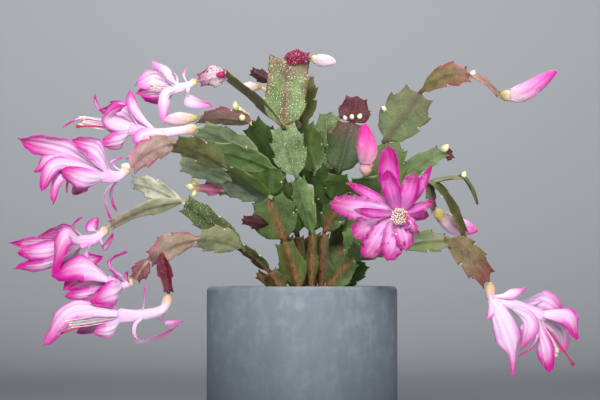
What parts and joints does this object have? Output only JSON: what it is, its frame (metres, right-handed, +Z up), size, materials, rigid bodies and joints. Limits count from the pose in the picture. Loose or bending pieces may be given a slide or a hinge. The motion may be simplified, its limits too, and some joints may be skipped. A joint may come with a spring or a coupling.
{
  "type": "potted christmas cactus",
  "caption": "Christmas cactus in full bloom, with flat toothed jointed stems and pink tiered flowers, in a plain grey cylindrical pot.",
  "frame": {"origin": "centre of the pot's underside", "axes": "+Z up along the pot's axis, the pictured side faces -Y, +X to its right"},
  "size_m": [0.3478, 0.2192, 0.2578],
  "materials": {
    "pot_mineral": "matt cast mineral, softly mottled",
    "soil": "loose dark potting soil",
    "stem_green": "satin, waxy, fine pale specks",
    "petal_pink": "satin, thin, white heart to magenta edges"
  },
  "bodies": {
    "root": {"pot": "pot_mineral", "soil": "soil", "stem_left_front": "stem_green", "stem_left_back": "stem_green", "stem_centre_front": "stem_green", "stem_centre_back": "stem_green", "stem_right_low": "stem_green", "stem_right_high": "stem_green", "stem_left_low": "stem_green", "stem_back_left": "stem_green", "stem_back_centre": "stem_green", "stem_back_right": "stem_green", "bloom_crown_left": "petal_pink", "bloom_upper_left": "petal_pink", "bloom_far_left": "petal_pink", "bloom_middle_left": "petal_pink", "bloom_lower_left": "petal_pink", "bloom_hanging_left": "petal_pink", "bloom_front": "petal_pink", "bloom_right": "petal_pink", "bloom_back": "petal_pink", "bud_left": "petal_pink", "bud_far_right": "petal_pink", "bud_front": "petal_pink", "bud_top": "petal_pink", "bud_right": "petal_pink", "bud_crown": "petal_pink", "bud_back": "petal_pink"}
  },
  "joints": []
}
